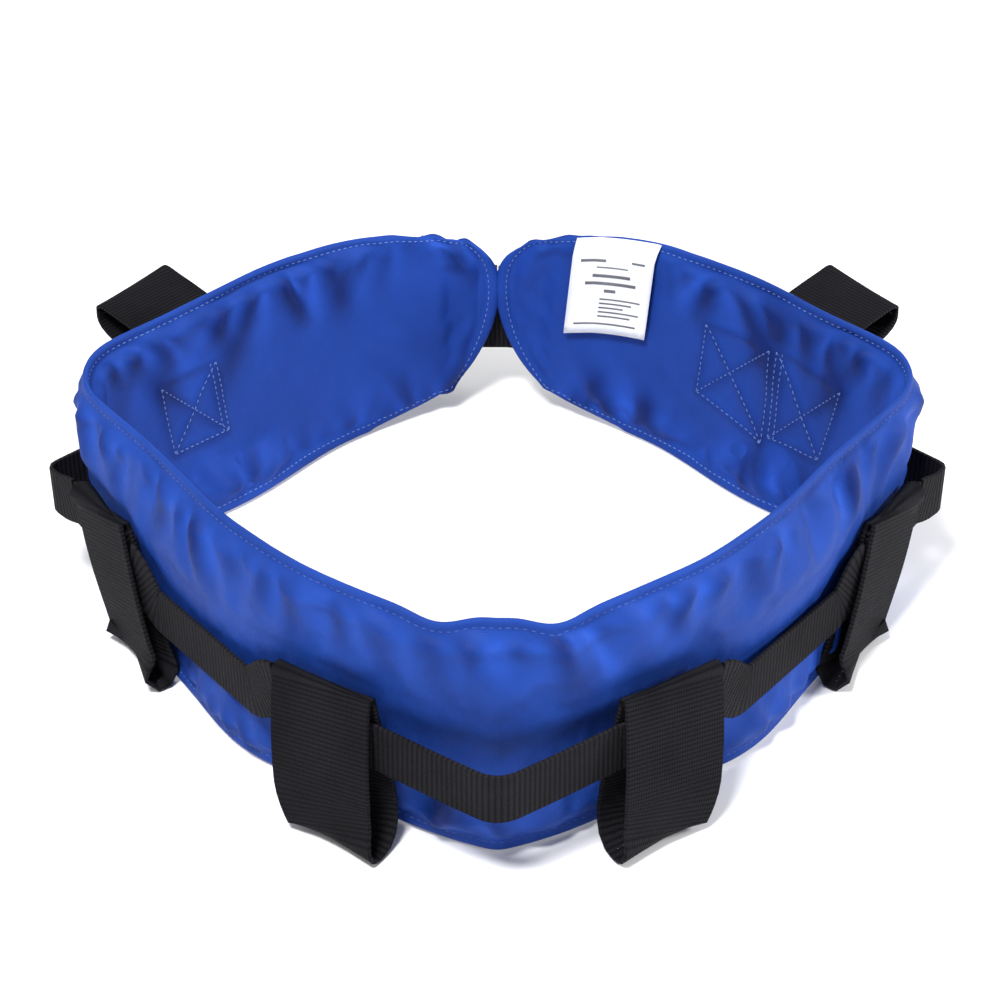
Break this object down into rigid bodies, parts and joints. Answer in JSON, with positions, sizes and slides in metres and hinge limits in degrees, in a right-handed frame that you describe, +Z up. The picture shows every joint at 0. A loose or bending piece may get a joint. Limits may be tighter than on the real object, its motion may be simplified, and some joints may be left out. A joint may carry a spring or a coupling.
{
  "type": "gait belt",
  "caption": "Padded gait belt closed into a ring, with webbing strap, hanging grab handles and a side-release buckle at the rear.",
  "frame": {"origin": "centre of the bounding box in plan, on the surface the belt stands on", "axes": "+Z up from the lower edge to the rim, -Y towards the front centre, +X to the half that carries the label and the buckle's plug"},
  "size_m": [0.4264, 0.407, 0.125],
  "materials": {
    "cover_fabric": "matte",
    "lining_fabric": "matte",
    "padding": "matte",
    "handle_webbing": "matte",
    "strap_webbing": "matte",
    "buckle_plastic": "satin",
    "label": "satin"
  },
  "bodies": {
    "right_half": {"outer_cover_right": "cover_fabric", "inner_lining_right": "lining_fabric", "foam_core_right": "padding", "seam_allowance_right": "padding", "strap_side_right": "strap_webbing", "strap_corner_right": "strap_webbing", "strap_front": "strap_webbing", "strap_rear_right": "strap_webbing", "buckle_guard": "strap_webbing", "buckle_plug": "buckle_plastic", "care_label": "label"},
    "left_half": {"outer_cover_left": "cover_fabric", "inner_lining_left": "lining_fabric", "foam_core_left": "padding", "seam_allowance_left": "padding", "strap_side_left": "strap_webbing", "strap_corner_left": "strap_webbing", "strap_rear_left": "strap_webbing", "buckle_socket": "buckle_plastic"},
    "handle_front_left": {"handle_front_left": "handle_webbing", "strap_in_handle_front_left": "strap_webbing"},
    "handle_side_left": {"handle_side_left": "handle_webbing", "strap_in_handle_side_left": "strap_webbing"},
    "handle_rear_left": {"handle_rear_left": "handle_webbing", "strap_in_handle_rear_left": "strap_webbing"},
    "handle_front_right": {"handle_front_right": "handle_webbing", "strap_in_handle_front_right": "strap_webbing"},
    "handle_side_right": {"handle_side_right": "handle_webbing", "strap_in_handle_side_right": "strap_webbing"},
    "handle_rear_right": {"handle_rear_right": "handle_webbing", "strap_in_handle_rear_right": "strap_webbing"},
    "buckle_prong_upper": {"buckle_prong_upper": "buckle_plastic"},
    "buckle_prong_lower": {"buckle_prong_lower": "buckle_plastic"}
  },
  "joints": [
    {"name": "belt_opening", "type": "hinge", "parent": "right_half", "child": "left_half", "pos_m": [0, -0.18392, 0.0625], "axis": [0, 0, 1], "range_deg": [0, 60], "deforming": ["strap_front"]},
    {"name": "handle_front_left_swing", "type": "hinge", "parent": "left_half", "child": "handle_front_left", "pos_m": [-0.07317, -0.15626, 0.0735], "axis": [-0.8299, 0.5579, 0], "range_deg": [0, 120]},
    {"name": "handle_side_left_swing", "type": "hinge", "parent": "left_half", "child": "handle_side_left", "pos_m": [-0.18691, -0.0244, 0.0735], "axis": [-0.5511, 0.8344, 0], "range_deg": [0, 120]},
    {"name": "handle_rear_left_swing", "type": "hinge", "parent": "left_half", "child": "handle_rear_left", "pos_m": [-0.14073, 0.10493, 0.0735], "axis": [0.7059, 0.7083, 0], "range_deg": [-95, 25]},
    {"name": "handle_front_right_swing", "type": "hinge", "parent": "right_half", "child": "handle_front_right", "pos_m": [0.07317, -0.15626, 0.0735], "axis": [-0.8299, -0.5579, 0], "range_deg": [0, 120]},
    {"name": "handle_side_right_swing", "type": "hinge", "parent": "right_half", "child": "handle_side_right", "pos_m": [0.18691, -0.0244, 0.0735], "axis": [-0.5511, -0.8344, 0], "range_deg": [0, 120]},
    {"name": "handle_rear_right_swing", "type": "hinge", "parent": "right_half", "child": "handle_rear_right", "pos_m": [0.14073, 0.10493, 0.0735], "axis": [0.7059, -0.7083, 0], "range_deg": [-95, 25]},
    {"name": "prong_upper_squeeze", "type": "hinge", "parent": "right_half", "child": "buckle_prong_upper", "pos_m": [-0.0005, 0.19748, 0.07], "axis": [0, -1, 0], "range_deg": [0, 6], "stiffness_Nm_per_rad": 0.01},
    {"name": "prong_lower_squeeze", "type": "hinge", "parent": "right_half", "child": "buckle_prong_lower", "pos_m": [-0.0005, 0.19748, 0.052], "axis": [0, -1, 0], "range_deg": [-6, 0], "stiffness_Nm_per_rad": 0.01}
  ],
  "couplings": [
    {"joint": "prong_lower_squeeze", "follows": "prong_upper_squeeze", "ratio": -1}
  ]
}
